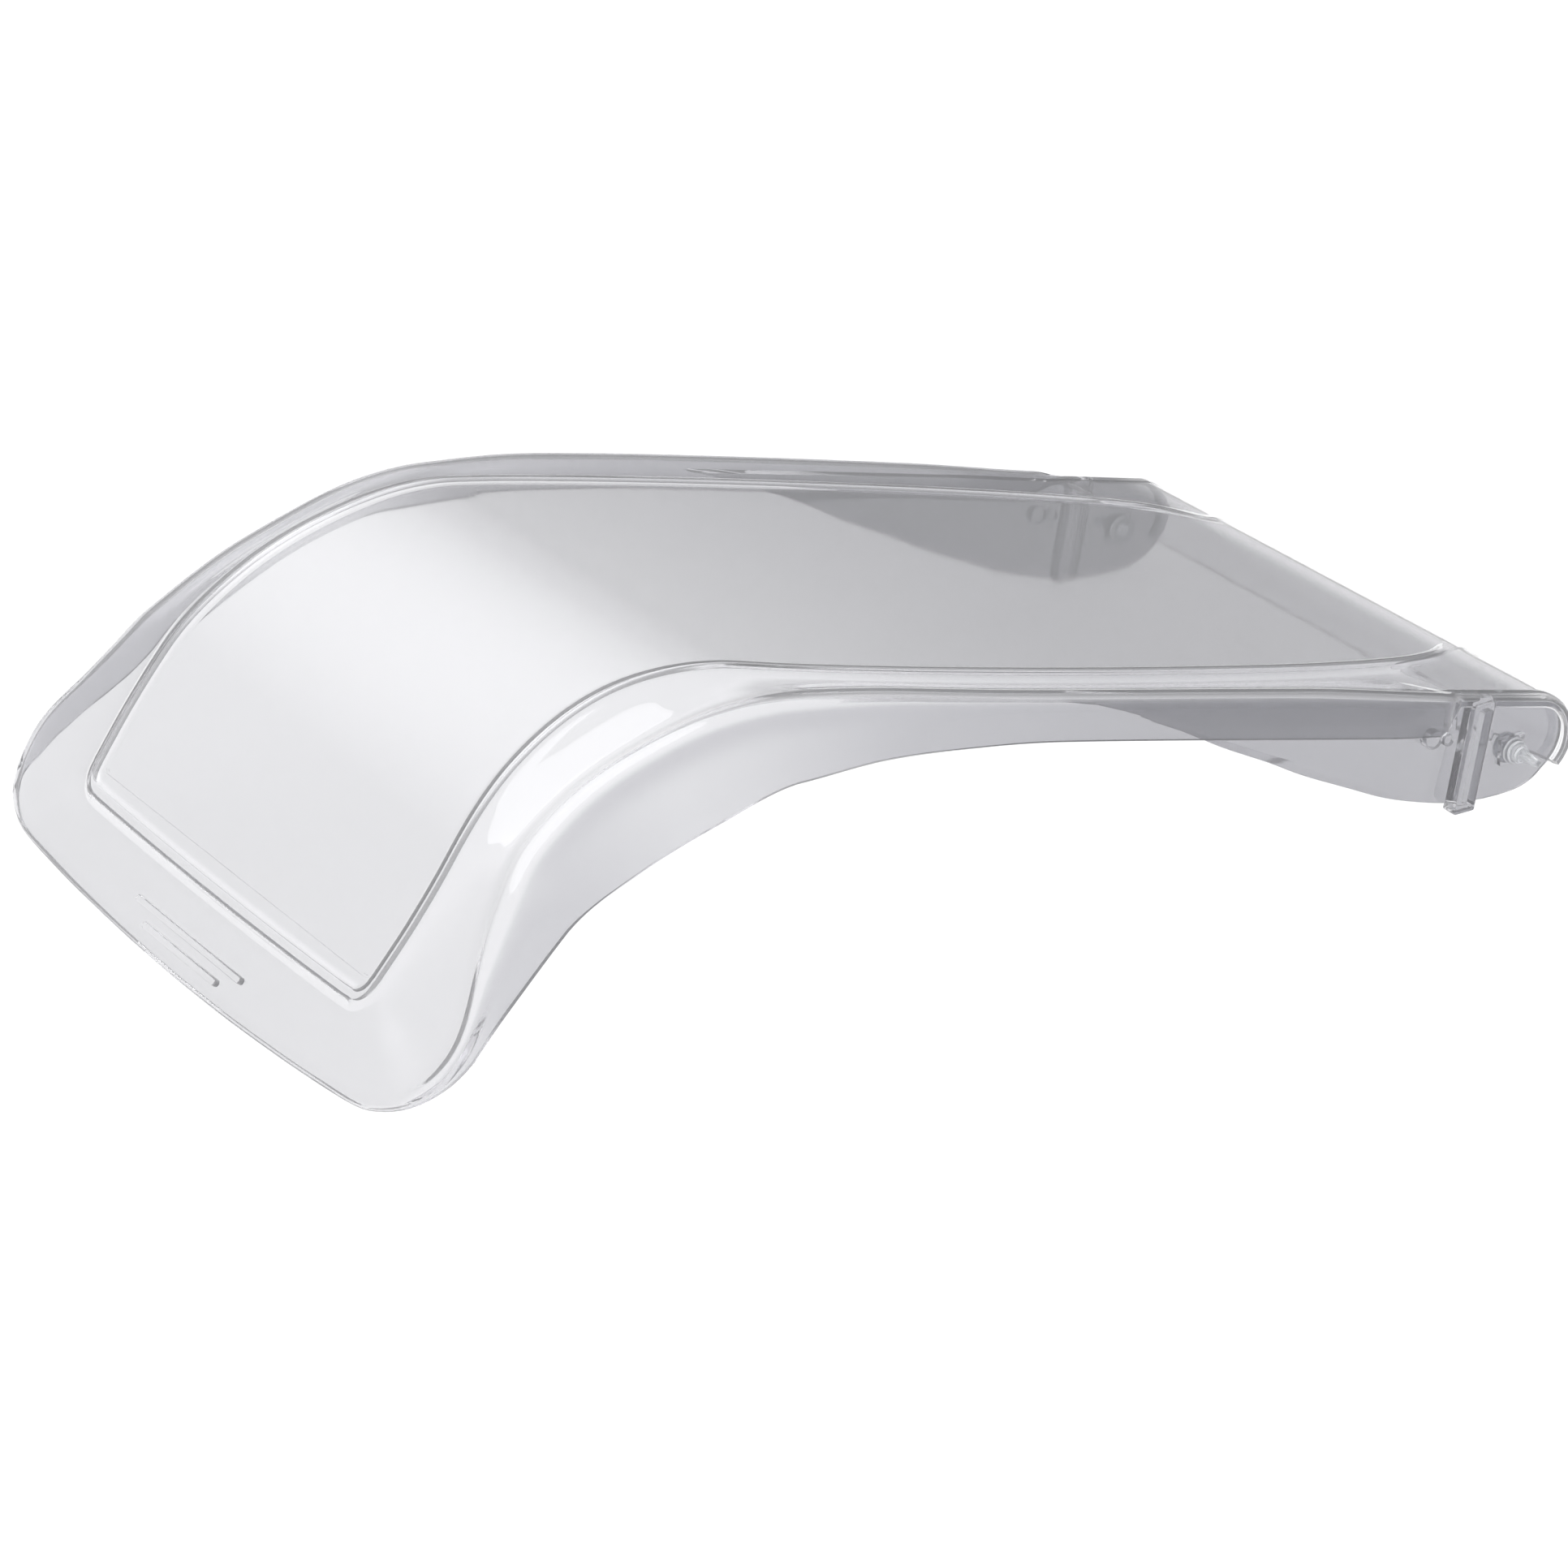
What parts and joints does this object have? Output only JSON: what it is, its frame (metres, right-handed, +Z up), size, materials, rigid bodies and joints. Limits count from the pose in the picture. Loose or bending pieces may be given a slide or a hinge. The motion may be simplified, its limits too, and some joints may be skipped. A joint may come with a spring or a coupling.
{
  "type": "sneeze guard",
  "caption": "Clear moulded hinged sneeze guard: a bowed hood with a flared front lip, side skirts and rear cheeks that swing on snap-in pins.",
  "frame": {"origin": "centre of the bounding box, at the height of the surface the guard stands on (its lip edge and strap feet)", "axes": "+X is the width and the mirror direction, +Y runs from the front lip to the hinge, +Z is up with the guard standing closed"},
  "size_m": [0.36, 0.5741, 0.1344],
  "materials": {
    "clear_polycarbonate": "polished clear polycarbonate",
    "pin_plastic": "clear moulded plastic",
    "ring_nylon": "clear moulded nylon"
  },
  "bodies": {
    "hinge_pins": {"hinge_pin_right": "pin_plastic", "hinge_pin_left": "pin_plastic", "pin_ring_right": "ring_nylon", "pin_ring_left": "ring_nylon"},
    "guard": {"guard_shell": "clear_polycarbonate"}
  },
  "joints": [
    {"name": "guard_hinge", "type": "hinge", "parent": "hinge_pins", "child": "guard", "pos_m": [0, 0.2573, 0.021], "axis": [-1, 0, 0], "range_deg": [0, 100]}
  ]
}
